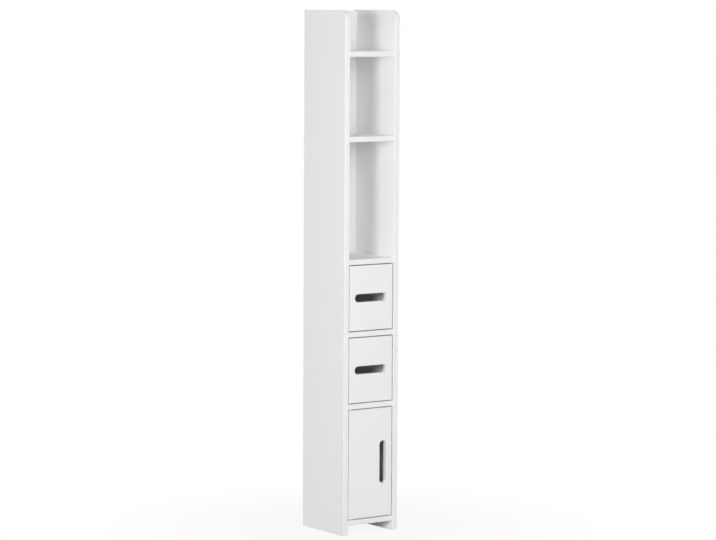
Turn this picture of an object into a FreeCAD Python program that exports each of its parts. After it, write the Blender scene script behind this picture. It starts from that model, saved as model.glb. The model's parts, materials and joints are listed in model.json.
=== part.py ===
"""Column cabinet: a tall, slim bathroom cabinet of white-faced board.

The frame is millimetres with +Z up. X runs to the right, Y to the back, and the front faces -Y.
The origin is on the floor, at the middle of the footprint.
"""
import FreeCAD, Part
import os
from types import SimpleNamespace

import Sketcher

# Driving sizes in millimetres: name, size, meaning
SIZES = (
    # Carcass
    ("width", 204, "outside width"),
    ("depth", 217, "outside depth"),
    ("side_board", 18, "thickness of the side panels"),
    ("shelf_board", 16, "thickness of shelves, dividers and bottom panel"),
    ("foot_height", 30, "floor to the underside of the bottom panel"),
    ("door_bay", 342, "clear height of the cupboard"),
    ("drawer_bay", 205, "clear height of each drawer bay"),
    ("tall_bay", 357, "clear height of the lower open bay"),
    ("middle_bay", 241, "clear height of the middle open bay"),
    ("top_bay", 124, "upper shelf to the top of the sides"),
    ("corner_radius", 30, "top front corner of the side panels"),
    ("edge_radius", 0.8, "rounding of the banded edges"),
    ("shelf_setback", 1, "front edges of the sides to those of the shelves"),
    ("overrun", 2, "length by which a cut runs past the piece it cuts"),
    # Back panel
    ("back_board", 3, "thickness of the back panel"),
    ("back_inset", 12, "rear edges of the sides to the back panel"),
    ("back_tongue", 6, "depth of the back panel's grooves"),
    ("back_drop", 3, "top of the sides to the top of the back panel"),
    ("groove_clearance", 0.2, "play between a thin board and its groove"),
    ("nail_radius", 0.8, "shank of a back panel nail"),
    ("nail_length", 18, "length of a nail under its head"),
    ("nail_head_radius", 2, "head of a nail"),
    ("nail_head_height", 0.6, "thickness of a nail's head"),
    ("nail_setin", 40, "inner face of a side to the nearest nail"),
    # Cam fittings and dowels of the carcass
    ("fit_clearance", 0.1, "radial play of a fastener in its hole"),
    ("end_clearance", 0.5, "play at the end of a fastener"),
    ("cam_radius", 7.4, "cam lock"),
    ("cam_height", 12, "cam lock"),
    ("cam_backset", 24, "end of a board to the centre of its cam"),
    ("cam_setin", 40, "front and rear edges of a board to its cams"),
    ("cam_slot_width", 1.8, "driver slot of a cam"),
    ("cam_slot_depth", 2, "driver slot of a cam"),
    ("bolt_thread_radius", 2.9, "threaded end of a cam bolt"),
    ("bolt_thread_length", 10.5, "threaded end of a cam bolt"),
    ("bolt_shank_radius", 2.4, "shank of a cam bolt"),
    ("bolt_head_radius", 3.2, "head of a cam bolt"),
    ("bolt_head_length", 2.5, "head of a cam bolt"),
    ("bolt_hole_radius", 3.5, "hole for the shank and head of a cam bolt"),
    ("dowel_radius", 3.9, "wood dowel"),
    ("dowel_in_side", 10, "length of a dowel in the side panel"),
    ("dowel_in_shelf", 20, "length of a dowel in the shelf"),
    ("dowel_taper", 1, "bevelled ends of a dowel"),
    ("cover_radius", 8.6, "cover over a cam"),
    ("cover_rim", 0.7, "straight rim of a cover"),
    ("cover_bevel", 0.5, "bevel of a cover"),
    # Screws
    ("screw_radius", 1.6, "shank of a screw"),
    ("screw_head_radius", 3.2, "countersunk head of a screw"),
    ("screw_head_height", 1.8, "countersunk head of a screw"),
    ("screw_tip", 2.5, "point of a screw"),
    ("screw_recess_width", 0.9, "cross recess of a screw"),
    ("screw_recess_depth", 1, "cross recess of a screw"),
    ("short_screw", 13, "screw of the catch, bracket and drawer base"),
    ("long_screw", 30, "screw of the drawer sides"),
    # Drawer fronts and door
    ("front_board", 16, "thickness of the drawer fronts and door"),
    ("front_gap", 3, "gap above, below and left of a drawer front or door"),
    ("free_gap", 4.5, "gap right of a drawer front or door, on the door's free side"),
    ("front_setback", 0.5, "front edges of the sides to the fronts"),
    ("slot_width", 25, "width of a finger slot"),
    ("drawer_slot", 120, "length of a drawer's finger slot"),
    ("door_slot", 133, "length of the door's finger slot"),
    ("door_slot_edge", 20, "free edge of the door to its finger slot"),
    # Drawer boxes
    ("drawer_board", 12, "thickness of a drawer's sides and back"),
    ("drawer_side_rise", 8, "lower edge of a drawer front to its sides"),
    ("drawer_side_drop", 35, "upper edge of a drawer front to its sides"),
    ("drawer_rear_gap", 6, "back panel to the drawer box"),
    ("base_board", 3, "thickness of a drawer's base"),
    ("base_rise", 10, "lower edge of a drawer side to its base"),
    ("base_tongue", 5, "depth of the base's grooves"),
    ("drawer_cam_radius", 5.9, "cam lock of a drawer side"),
    ("drawer_cam_height", 9, "cam lock of a drawer side"),
    ("drawer_cam_backset", 20, "front end of a drawer side to its cam"),
    ("drawer_cam_drop", 40, "upper edge of a drawer side to its cam"),
    ("drawer_dowel_radius", 2.9, "dowel of a drawer side"),
    ("drawer_dowel_in_front", 10, "length of the dowel in the drawer front"),
    ("drawer_dowel_in_side", 14, "length of the dowel in the drawer side"),
    ("drawer_dowel_setin", 25, "lower edge of a drawer side to its lower dowel"),
    ("drawer_dowel_drop", 15, "upper edge of a drawer side to its upper dowel"),
    ("drawer_screw_setin", 40, "lower edge of a drawer side to its lower screw"),
    ("drawer_screw_drop", 25, "upper edge of a drawer side to its upper screw"),
    ("base_screw_setin", 35, "inside of a drawer side to the base's screw"),
    # Drawer runners
    ("runner_height", 12, "height of a runner"),
    ("runner_engage", 5, "length by which a runner enters the groove"),
    ("runner_clearance", 0.4, "play of a runner in its groove"),
    ("runner_lead", 14, "back of a drawer front to the start of the groove"),
    ("runner_rear_gap", 12, "back panel to the end of a runner"),
    ("runner_rise", 75, "lower edge of a drawer side to the runner's middle"),
    ("runner_rounding", 1, "rounded long edges of a runner"),
    ("runner_screw_length", 16, "screw of a runner"),
    ("runner_screw_setin", 25, "ends of a runner to its screws"),
    # Door hinge
    ("pivot_edge", 8, "hinged edge of the door to the hinge axis"),
    ("pivot_setback", 6, "face of the door to the hinge axis"),
    ("pin_radius", 2.5, "hinge pin"),
    ("pin_in_door", 20, "length of a hinge pin in the door"),
    ("pin_in_bush", 9, "length of a hinge pin in its bush"),
    ("pin_running_clearance", 0.05, "radial play of a hinge pin in its bush"),
    ("bush_radius", 4, "hinge bush"),
    ("bush_length", 10, "length of a bush in the board"),
    ("bush_flange_radius", 5, "flange of a bush"),
    ("bush_flange_clearance", 0.4, "door to the flange of a bush"),
    # Magnet catch
    ("catch_side_distance", 60, "right side panel to the middle of the catch"),
    ("catch_block_width", 27, "housing between its ears"),
    ("catch_depth", 14, "housing, front to back"),
    ("catch_height", 14, "housing, top to bottom"),
    ("catch_ear_width", 10, "screw ear of the housing"),
    ("catch_ear_thickness", 4, "screw ear of the housing"),
    ("catch_rounding", 1.2, "rounded edges of the housing"),
    ("catch_drop", 8.5, "divider to the middle of the magnet"),
    ("catch_gap", 0.4, "strike plate to the pole plates"),
    ("magnet_width", 22, "magnet"),
    ("magnet_thickness", 5, "magnet"),
    ("magnet_depth", 9, "magnet"),
    ("magnet_clearance", 0.15, "play around the magnet and its pole plates"),
    ("pole_thickness", 1.2, "pole plate"),
    ("pole_proud", 0.6, "length by which the pole plates stand out of the housing"),
    ("strike_width", 42, "strike plate"),
    ("strike_height", 10, "strike plate"),
    ("strike_thickness", 1.2, "strike plate"),
    ("strike_corner", 2, "rounded corners of the strike plate"),
    ("strike_screw_setin", 5, "ends of the strike plate to its screws"),
    # Wall bracket
    ("bracket_offset", 40, "middle of the cabinet to the bracket, to the left"),
    ("bracket_width", 20, "bracket"),
    ("bracket_leg", 30, "length of each leg"),
    ("bracket_thickness", 2, "bracket"),
    ("bracket_corner", 4, "rounded ends of the legs"),
    ("bracket_near_screw", 11, "wall leg to the nearer screw"),
    ("bracket_far_screw", 22, "wall leg to the farther screw"),
    ("anchor_rise", 19, "shelf to the wall screw's hole"),
    ("anchor_radius", 2.75, "wall screw's hole in the bracket"),
    ("anchor_clear_radius", 5, "wall screw's hole in the back panel"),
)

# Shares of the head's and the cam's own size
RECESS_ARM_SHARE = 0.65
CAM_SLOT_SHARE = 0.7

# Coordinates closer than this are the same place
SAME_PLACE = 1e-6

# Sides of the cabinet
LEFT = -1
RIGHT = 1


class Length:
    """A length, with the expression that gives it from the sheet of sizes."""

    def __init__(self, number, expression):
        self.number = number
        self.expression = expression

    def __add__(self, other):
        return Length(self.number + other.number, f"({self.expression} + {other.expression})")

    def __sub__(self, other):
        return Length(self.number - other.number, f"({self.expression} - {other.expression})")

    def __neg__(self):
        return Length(-self.number, f"(0 - {self.expression})")

    def __mul__(self, count):
        return Length(self.number * count, f"({self.expression} * {count})")

    __rmul__ = __mul__

    def __truediv__(self, count):
        return Length(self.number / count, f"({self.expression} / {count})")


ZERO = Length(0, "0")

document = FreeCAD.newDocument("column_cabinet")
sheet = document.addObject("Spreadsheet::Sheet", "sizes")
for row, (alias, number, meaning) in enumerate(SIZES, start=1):
    sheet.set(f"A{row}", meaning)
    sheet.set(f"B{row}", str(number))
    sheet.setAlias(f"B{row}", alias)
document.recompute()
size = SimpleNamespace(**{alias: Length(number, f"sizes.{alias}") for alias, number, _ in SIZES})

# Places that several pieces share
inner_width = size.width - 2 * size.side_board
inner_half = inner_width / 2
front_y = -size.depth / 2
back_face_y = size.depth / 2 - size.back_inset - size.back_board
shelf_y = front_y + size.shelf_setback
shelf_depth = back_face_y - shelf_y

bottom_z = size.foot_height
cupboard_z = bottom_z + size.shelf_board
cupboard_divider_z = cupboard_z + size.door_bay
lower_drawer_z = cupboard_divider_z + size.shelf_board
drawer_divider_z = lower_drawer_z + size.drawer_bay
upper_drawer_z = drawer_divider_z + size.shelf_board
lower_shelf_z = upper_drawer_z + size.drawer_bay
middle_shelf_z = lower_shelf_z + size.shelf_board + size.tall_bay
upper_shelf_z = middle_shelf_z + size.shelf_board + size.middle_bay
upper_shelf_top_z = upper_shelf_z + size.shelf_board
total_height = upper_shelf_top_z + size.top_bay

BOARDS = {
    "bottom_panel": bottom_z,
    "cupboard_divider": cupboard_divider_z,
    "drawer_divider": drawer_divider_z,
    "lower_shelf": lower_shelf_z,
    "middle_shelf": middle_shelf_z,
    "upper_shelf": upper_shelf_z,
}
DRAWERS = {"lower_drawer": lower_drawer_z, "upper_drawer": upper_drawer_z}

front_x = -inner_half + size.front_gap
front_end_x = inner_half - size.free_gap
front_width = front_end_x - front_x
front_middle_x = front_x + front_width / 2
front_face_y = front_y + size.front_setback
front_back_y = front_face_y + size.front_board
drawer_front_height = size.drawer_bay - 2 * size.front_gap
door_height = size.door_bay - 2 * size.front_gap
door_z = cupboard_z + size.front_gap

box_end_y = back_face_y - size.drawer_rear_gap
box_depth = box_end_y - front_back_y
drawer_side_height = drawer_front_height - size.drawer_side_rise - size.drawer_side_drop
drawer_inside = front_width - 2 * size.drawer_board
runner_y = front_back_y + size.runner_lead + size.runner_clearance
runner_length = back_face_y - size.runner_rear_gap - runner_y
runner_thicknesses = {
    LEFT: size.front_gap + size.runner_engage,
    RIGHT: size.free_gap + size.runner_engage,
}

pivot_x = front_x + size.pivot_edge
pivot_y = front_face_y + size.pivot_setback
strike_y = front_back_y + size.strike_thickness
catch_x = inner_half - size.catch_side_distance
catch_face_y = strike_y + size.catch_gap + size.pole_proud
magnet_z = cupboard_divider_z - size.catch_drop

TURNS = {
    axis: FreeCAD.Rotation(FreeCAD.Vector(0, 0, 1), FreeCAD.Vector(*direction))
    for axis, direction in {
        "+X": (1, 0, 0), "+Y": (0, 1, 0), "+Z": (0, 0, 1),
        "-X": (-1, 0, 0), "-Y": (0, -1, 0), "-Z": (0, 0, -1),
    }.items()
}
HALF_TURN = FreeCAD.Rotation(FreeCAD.Vector(0, 0, 1), 180)
# A cam's Z into the board and its mouth, along the cam's X, towards the drawer front
DRAWER_CAM_TURNS = {
    LEFT: FreeCAD.Rotation(FreeCAD.Vector(0, -1, 0), FreeCAD.Vector(), FreeCAD.Vector(-1, 0, 0), "ZXY"),
    RIGHT: FreeCAD.Rotation(FreeCAD.Vector(0, -1, 0), FreeCAD.Vector(), FreeCAD.Vector(1, 0, 0), "ZXY"),
}

parts = []


def keep(piece, label):
    """Names a finished sub-part."""
    piece.Label = label
    parts.append(piece)
    return piece


def bind(piece, name, length):
    piece.setExpression(name, length.expression)


def place(piece, x, y, z, turn=FreeCAD.Rotation()):
    piece.Placement = FreeCAD.Placement(FreeCAD.Vector(x.number, y.number, z.number), turn)
    bind(piece, "Placement.Base.x", x)
    bind(piece, "Placement.Base.y", y)
    bind(piece, "Placement.Base.z", z)


def toward(side, length):
    """The length, measured to the left or the right."""
    return length if side == RIGHT else -length


def new_body(name, x, y, z):
    body = document.addObject("PartDesign::Body", name)
    place(body, x, y, z)
    return body


def new_sketch(body, plane, right=ZERO, up=ZERO, along=ZERO):
    """A sketch on an origin plane of the body, its origin moved in the plane and along its axis."""
    sketch = body.newObject("Sketcher::SketchObject", body.Name + "_sketch")
    support = next(feature for feature in body.Origin.OriginFeatures if feature.Role == plane)
    sketch.AttachmentSupport = [(support, "")]
    sketch.MapMode = "FlatFace"
    bind(sketch, "AttachmentOffset.Base.x", right)
    bind(sketch, "AttachmentOffset.Base.y", up)
    bind(sketch, "AttachmentOffset.Base.z", -along if plane == "XZ_Plane" else along)
    return sketch


def constrain(sketch, length, *constraint):
    number = sketch.addConstraint(Sketcher.Constraint(*constraint, length.number))
    sketch.setExpression(f"Constraints[{number}]", length.expression)


def draw_polygon(sketch, corners):
    """A closed outline through (right, up) corners, the first of them at the sketch's origin."""
    points = [FreeCAD.Vector(right.number, up.number, 0) for right, up in corners]
    for number, point in enumerate(points):
        sketch.addGeometry(Part.LineSegment(point, points[(number + 1) % len(points)]))
    for number in range(len(points)):
        following = (number + 1) % len(points)
        sketch.addConstraint(Sketcher.Constraint("Coincident", number, 2, following, 1))
        level = abs(points[number].y - points[following].y) < SAME_PLACE
        sketch.addConstraint(Sketcher.Constraint("Horizontal" if level else "Vertical", number))
    sketch.addConstraint(Sketcher.Constraint("Coincident", 0, 1, -1, 1))
    for number in range(len(points) - 2):
        (right, up), (next_right, next_up) = corners[number], corners[number + 1]
        level = abs(points[number].y - points[number + 1].y) < SAME_PLACE
        step = next_right - right if level else next_up - up
        axis = "DistanceX" if level else "DistanceY"
        ends = (number, 1, number, 2) if step.number > 0 else (number, 2, number, 1)
        constrain(sketch, step if step.number > 0 else -step, axis, *ends)


def draw_rectangle(sketch, width, height):
    draw_polygon(sketch, [(ZERO, ZERO), (width, ZERO), (width, height), (ZERO, height)])


def draw_slot(sketch, length, width, upright):
    """A slot with round ends, centred on the sketch's origin."""
    reach = (length - width) / 2
    radius = width / 2
    along = FreeCAD.Vector(0, 1, 0) if upright else FreeCAD.Vector(1, 0, 0)
    across = FreeCAD.Vector(-along.y, along.x, 0) * radius.number
    tip = along * reach.number
    edges = [
        Part.LineSegment(-tip - across, tip - across),
        Part.Arc(tip - across, tip + along * radius.number, tip + across),
        Part.LineSegment(tip + across, -tip + across),
        Part.Arc(-tip + across, -tip - along * radius.number, -tip - across),
    ]
    sketch.addGeometry(edges)
    for number in range(len(edges)):
        sketch.addConstraint(Sketcher.Constraint("Tangent", number, 2, (number + 1) % len(edges), 1))
    sketch.addConstraint(Sketcher.Constraint("Vertical" if upright else "Horizontal", 0))
    sketch.addConstraint(Sketcher.Constraint("Symmetric", 1, 3, 3, 3, -1, 1))
    constrain(sketch, radius, "Radius", 1)
    constrain(sketch, 2 * reach, "DistanceY" if upright else "DistanceX", 3, 3, 1, 3)


def pad(body, sketch, plane, length):
    """Grows the solid from its sketch towards +X, +Y or +Z."""
    solid = body.newObject("PartDesign::Pad", body.Name + "_pad")
    solid.Profile = sketch
    solid.Reversed = plane == "XZ_Plane"
    bind(solid, "Length", length)
    document.recompute()
    return solid


def pocket(body, sketch, plane, length, forward):
    """Cuts from the sketch towards +X, +Y or +Z, or backward."""
    before = body.Shape.Volume
    recess = body.newObject("PartDesign::Pocket", body.Name + "_pocket")
    recess.Profile = sketch
    recess.Reversed = forward != (plane == "XZ_Plane")
    bind(recess, "Length", length)
    document.recompute()
    if body.Shape.Volume > before - SAME_PLACE:
        raise RuntimeError(f"{recess.Name} cuts nothing")
    return recess


def round_edges(body, radius, chosen):
    """Rounds the edges whose box, in the body's own box, the test chooses."""
    solid = body.Tip
    whole = solid.Shape.BoundBox
    names = [f"Edge{n}" for n, edge in enumerate(solid.Shape.Edges, start=1) if chosen(edge.BoundBox, whole)]
    rounding = body.newObject("PartDesign::Fillet", body.Name + "_rounding")
    rounding.Base = (solid, names)
    bind(rounding, "Radius", radius)
    document.recompute()
    return rounding


def same(*places):
    return max(places) - min(places) < SAME_PLACE


def turned(name, stages, start=ZERO):
    """A turned shape along Z, in stages of (lower radius, upper radius, length)."""
    pieces = []
    for low, high, length in stages:
        straight = low is high
        piece = document.addObject("Part::Cylinder" if straight else "Part::Cone", name + "_stage")
        bind(piece, "Radius" if straight else "Radius1", low)
        if not straight:
            bind(piece, "Radius2", high)
        bind(piece, "Height", length)
        bind(piece, "Placement.Base.z", start)
        pieces.append(piece)
        start = start + length
    if len(pieces) == 1:
        return pieces[0]
    whole = document.addObject("Part::MultiFuse", name)
    whole.Shapes = pieces
    whole.Refine = True
    return whole


def block(name, x, y, z, width, depth, height):
    piece = document.addObject("Part::Box", name)
    bind(piece, "Length", width)
    bind(piece, "Width", depth)
    bind(piece, "Height", height)
    place(piece, x, y, z)
    return piece


def cut(name, base, tool):
    piece = document.addObject("Part::Cut", name)
    piece.Base = base
    piece.Tool = tool
    piece.Refine = True
    return piece


def copies(name, shape, places):
    """Copies of one shape at (x, y, z, turn)."""
    links = []
    for x, y, z, turn in places:
        link = document.addObject("App::Link", name + "_copy")
        link.LinkedObject = shape
        link.LinkTransform = True
        place(link, x, y, z, turn)
        links.append(link)
    group = document.addObject("Part::Compound", name)
    group.Links = links
    return group


def drill(label, blank, *holes):
    """Cuts each set of (shape, places) out of the blank and keeps the result as a sub-part."""
    for shape, places in holes:
        blank = cut(label + "_drilled", blank, copies(label + "_holes", shape, places))
    return keep(blank, label)


# Fasteners, each with the hole that it fits

def make_bolt(name, backset):
    """Cam bolt along Z: its thread below zero, its shank and head above."""
    shank = backset - size.bolt_head_length
    bolt = turned(name, (
        (size.bolt_thread_radius, size.bolt_thread_radius, size.bolt_thread_length),
        (size.bolt_shank_radius, size.bolt_shank_radius, shank),
        (size.bolt_head_radius, size.bolt_head_radius, size.bolt_head_length),
    ), -size.bolt_thread_length)
    thread_hole = size.bolt_thread_radius + size.fit_clearance
    thread_depth = size.bolt_thread_length + size.end_clearance
    hole = turned(name + "_hole", (
        (thread_hole, thread_hole, thread_depth),
        (size.bolt_hole_radius, size.bolt_hole_radius, backset),
    ), -thread_depth)
    return bolt, hole


def make_cam(name, radius, height, axis_height):
    """Cam lock along Z, its mouth towards +X and its driver slot in the lower face."""
    drum = turned(name + "_drum", ((radius, radius, height),))
    mouth_reach = radius + size.overrun
    mouth = turned(name + "_mouth", (
        (size.bolt_hole_radius, size.bolt_hole_radius, mouth_reach + size.end_clearance),
    ), -size.end_clearance)
    mouth_place = [(ZERO, ZERO, axis_height, TURNS["+X"])]
    opened = cut(name + "_opened", drum, copies(name + "_mouths", mouth, mouth_place))
    slot_length = 2 * CAM_SLOT_SHARE * radius
    slot = block(
        name + "_slot", -slot_length / 2, -size.cam_slot_width / 2, -size.overrun,
        slot_length, size.cam_slot_width, size.cam_slot_depth + size.overrun,
    )
    cam = cut(name, opened, slot)
    hole_radius = radius + size.fit_clearance
    hole = turned(name + "_hole", (
        (hole_radius, hole_radius, height + size.end_clearance + size.overrun),
    ), -size.overrun)
    return cam, hole


def make_dowel(name, radius, below, above):
    """Bevelled dowel along Z, from below zero to above it."""
    tip = radius - size.dowel_taper / 2
    dowel = turned(name, (
        (tip, radius, size.dowel_taper),
        (radius, radius, below + above - 2 * size.dowel_taper),
        (radius, tip, size.dowel_taper),
    ), -below)
    hole_radius = radius + size.fit_clearance
    hole_start = below + size.end_clearance
    hole_length = hole_start + above + size.end_clearance
    hole = turned(name + "_hole", ((hole_radius, hole_radius, hole_length),), -hole_start)
    return dowel, hole


def make_screw(name, length):
    """Countersunk screw along Z, its head flush with zero and its point at the far end."""
    shank = length - size.screw_head_height - size.screw_tip
    body = turned(name + "_body", (
        (size.screw_head_radius, size.screw_radius, size.screw_head_height),
        (size.screw_radius, size.screw_radius, shank),
        (size.screw_radius, ZERO, size.screw_tip),
    ))
    arm = 2 * RECESS_ARM_SHARE * size.screw_head_radius
    half_width = size.screw_recess_width / 2
    recess_height = size.screw_recess_depth + size.overrun
    first = block(
        name + "_recess", -arm / 2, -half_width, -size.overrun, arm, size.screw_recess_width, recess_height,
    )
    second = block(
        name + "_recess", -half_width, -arm / 2, -size.overrun, size.screw_recess_width, arm, recess_height,
    )
    screw = cut(name, cut(name + "_slotted", body, first), second)
    head_hole = size.screw_head_radius + size.fit_clearance
    shank_hole = size.screw_radius + size.fit_clearance
    hole = turned(name + "_hole", (
        (head_hole, head_hole, size.overrun),
        (head_hole, shank_hole, size.screw_head_height),
        (shank_hole, shank_hole, length - size.screw_head_height + size.end_clearance),
    ), -size.overrun)
    return screw, hole


def make_nail():
    """Nail along Z, the underside of its head at zero."""
    nail = turned("nail", (
        (size.nail_head_radius, size.nail_head_radius, size.nail_head_height),
        (size.nail_radius, size.nail_radius, size.nail_length),
    ), -size.nail_head_height)
    hole_radius = size.nail_radius + size.fit_clearance
    hole_length = size.nail_length + size.end_clearance + size.overrun
    hole = turned("nail_hole", ((hole_radius, hole_radius, hole_length),), -size.overrun)
    return nail, hole


bolt, bolt_hole = make_bolt("bolt", size.cam_backset)
cam, cam_hole = make_cam("cam", size.cam_radius, size.cam_height, size.shelf_board / 2)
dowel, dowel_hole = make_dowel("dowel", size.dowel_radius, size.dowel_in_side, size.dowel_in_shelf)
screw, screw_hole = make_screw("screw", size.short_screw)
long_screw, long_screw_hole = make_screw("long_screw", size.long_screw)
runner_screw, runner_screw_hole = make_screw("runner_screw", size.runner_screw_length)
nail, nail_hole = make_nail()
drawer_bolt, drawer_bolt_hole = make_bolt("drawer_bolt", size.drawer_cam_backset)
drawer_cam, drawer_cam_hole = make_cam(
    "drawer_cam", size.drawer_cam_radius, size.drawer_cam_height, size.drawer_board / 2,
)
drawer_dowel, drawer_dowel_hole = make_dowel(
    "drawer_dowel", size.drawer_dowel_radius, size.drawer_dowel_in_front, size.drawer_dowel_in_side,
)


# Where the fasteners of the carcass go

CAM_DEPTHS = (shelf_y + size.cam_setin, back_face_y - size.cam_setin)


def inward(side):
    return TURNS["-X"] if side == RIGHT else TURNS["+X"]


def outward(side):
    return TURNS["+X"] if side == RIGHT else TURNS["-X"]


def bolt_places(sides, levels):
    middle = size.shelf_board / 2
    return [(toward(side, inner_half), y, z + middle, inward(side))
            for side in sides for z in levels for y in CAM_DEPTHS]


def cam_places(levels):
    turns = {LEFT: HALF_TURN, RIGHT: FreeCAD.Rotation()}
    return [(toward(side, inner_half - size.cam_backset), y, z, turns[side])
            for side in (LEFT, RIGHT) for z in levels for y in CAM_DEPTHS]


def cover_places(levels):
    return [(x, y, z, TURNS["-Z"]) for x, y, z, _ in cam_places(levels)]


def dowel_places(sides, levels):
    middle = size.shelf_board / 2
    return [(toward(side, inner_half), shelf_y + shelf_depth / 2, z + middle, inward(side))
            for side in sides for z in levels]


def nail_places(levels):
    middle = size.shelf_board / 2
    y = back_face_y + size.back_board
    return [(toward(side, inner_half - size.nail_setin), y, z + middle, TURNS["-Y"])
            for side in (LEFT, RIGHT) for z in levels]


def runner_z(bay_z):
    return bay_z + size.front_gap + size.drawer_side_rise + size.runner_rise


def runner_screw_places(sides, bays):
    ends = (runner_y + size.runner_screw_setin, runner_y + runner_length - size.runner_screw_setin)
    return [(toward(side, inner_half - runner_thicknesses[side]), y, runner_z(bay_z), outward(side))
            for side in sides for bay_z in bays for y in ends]


HINGE_PLACES = {
    "upper": (pivot_x, pivot_y, cupboard_divider_z, TURNS["+Z"]),
    "lower": (pivot_x, pivot_y, cupboard_z, TURNS["-Z"]),
}
CATCH_SCREW_PLACES = [
    (catch_x + toward(side, (size.catch_block_width + size.catch_ear_width) / 2),
     catch_face_y + size.catch_depth / 2, cupboard_divider_z - size.catch_ear_thickness, TURNS["+Z"])
    for side in (LEFT, RIGHT)
]
STRIKE_SCREW_PLACES = [
    (catch_x + toward(side, size.strike_width / 2 - size.strike_screw_setin), strike_y, magnet_z, TURNS["-Y"])
    for side in (LEFT, RIGHT)
]
BRACKET_SCREW_PLACES = [
    (-size.bracket_offset, back_face_y - setin, upper_shelf_top_z + size.bracket_thickness, TURNS["-Z"])
    for setin in (size.bracket_near_screw, size.bracket_far_screw)
]
ANCHOR_PLACE = (-size.bracket_offset, back_face_y, upper_shelf_top_z + size.anchor_rise, TURNS["-Y"])


# Carcass boards

def make_side_panel(side):
    label = "left_side_panel" if side == LEFT else "right_side_panel"
    body = new_body(label + "_blank", -size.width / 2 if side == LEFT else inner_half, front_y, ZERO)
    sketch = new_sketch(body, "YZ_Plane")
    draw_rectangle(sketch, size.depth, total_height)
    pad(body, sketch, "YZ_Plane", size.side_board)
    round_edges(body, size.corner_radius, lambda edge, whole: same(edge.YMin, edge.YMax, whole.YMin)
                and same(edge.ZMin, edge.ZMax, whole.ZMax))
    round_edges(body, size.edge_radius, lambda edge, whole: same(edge.XMin, edge.XMax)
                and not same(edge.YMin, edge.YMax, whole.YMax)
                and not same(edge.ZMin, edge.ZMax, whole.ZMin))
    inner_face = size.side_board if side == LEFT else ZERO
    groove_start = size.depth - size.back_inset - size.back_board - size.groove_clearance
    groove = new_sketch(body, "YZ_Plane", groove_start, -size.overrun, inner_face)
    draw_rectangle(groove, size.back_board + 2 * size.groove_clearance, total_height + 2 * size.overrun)
    pocket(body, groove, "YZ_Plane", size.back_tongue, side == RIGHT)
    levels = BOARDS.values()
    drill(
        label, body,
        (bolt_hole, bolt_places([side], levels)),
        (dowel_hole, dowel_places([side], levels)),
        (runner_screw_hole, runner_screw_places([side], DRAWERS.values())),
    )


def make_board(label, z, *more_holes):
    body = new_body(label + "_blank", -inner_half, shelf_y, z)
    sketch = new_sketch(body, "XY_Plane")
    draw_rectangle(sketch, inner_width, shelf_depth)
    pad(body, sketch, "XY_Plane", size.shelf_board)
    round_edges(body, size.edge_radius, lambda edge, whole: same(edge.YMin, edge.YMax, whole.YMin)
                and same(edge.ZMin, edge.ZMax))
    drill(
        label, body,
        (cam_hole, cam_places([z])),
        (bolt_hole, bolt_places((LEFT, RIGHT), [z])),
        (dowel_hole, dowel_places((LEFT, RIGHT), [z])),
        (nail_hole, nail_places([z])),
        *more_holes,
    )


def make_back_panel():
    tongue = size.back_tongue - size.groove_clearance
    body = new_body("back_panel_blank", -inner_half - tongue, back_face_y, bottom_z)
    sketch = new_sketch(body, "XZ_Plane")
    draw_rectangle(sketch, inner_width + 2 * tongue, total_height - bottom_z - size.back_drop)
    pad(body, sketch, "XZ_Plane", size.back_board)
    anchor_length = size.back_board + 2 * size.overrun
    anchor_hole = turned("anchor_clearance", (
        (size.anchor_clear_radius, size.anchor_clear_radius, anchor_length),
    ), -size.back_board - size.overrun)
    drill("back_panel", body, (nail_hole, nail_places(BOARDS.values())), (anchor_hole, [ANCHOR_PLACE]))


def make_carcass_fasteners():
    levels = BOARDS.values()
    cover = turned("cover", (
        (size.cover_radius, size.cover_radius, size.cover_rim),
        (size.cover_radius, size.cover_radius - size.cover_bevel, size.cover_bevel),
    ))
    keep(copies("cam_locks", cam, cam_places(levels)), "cam_locks")
    keep(copies("cam_bolts", bolt, bolt_places((LEFT, RIGHT), levels)), "cam_bolts")
    keep(copies("cam_covers", cover, cover_places(levels)), "cam_covers")
    keep(copies("wood_dowels", dowel, dowel_places((LEFT, RIGHT), levels)), "wood_dowels")
    keep(copies("back_panel_nails", nail, nail_places(levels)), "back_panel_nails")


# Runners

def make_runner(label, side, bay_z):
    thickness = runner_thicknesses[side]
    x = -inner_half if side == LEFT else inner_half - thickness
    body = new_body(label + "_blank", x, runner_y, runner_z(bay_z) - size.runner_height / 2)
    sketch = new_sketch(body, "XY_Plane")
    draw_rectangle(sketch, thickness, runner_length)
    pad(body, sketch, "XY_Plane", size.runner_height)

    def on_free_face(edge, whole):
        face = whole.XMax if side == LEFT else whole.XMin
        return same(edge.XMin, edge.XMax, face)

    round_edges(body, size.runner_rounding, on_free_face)
    drill(label, body, (runner_screw_hole, runner_screw_places([side], [bay_z])))


# Drawers

def make_front(name, z, height, slot_length, slot_x, upright):
    """A drawer front or door with its finger slot."""
    body = new_body(name, front_x, front_face_y, z)
    outline = new_sketch(body, "XZ_Plane")
    draw_rectangle(outline, front_width, height)
    pad(body, outline, "XZ_Plane", size.front_board)
    slot = new_sketch(body, "XZ_Plane", slot_x, height / 2, -size.overrun)
    draw_slot(slot, slot_length, size.slot_width, upright)
    pocket(body, slot, "XZ_Plane", size.front_board + 2 * size.overrun, True)
    round_edges(body, size.edge_radius, lambda edge, whole: same(edge.YMin, edge.YMax, whole.YMin))
    return body


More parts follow.
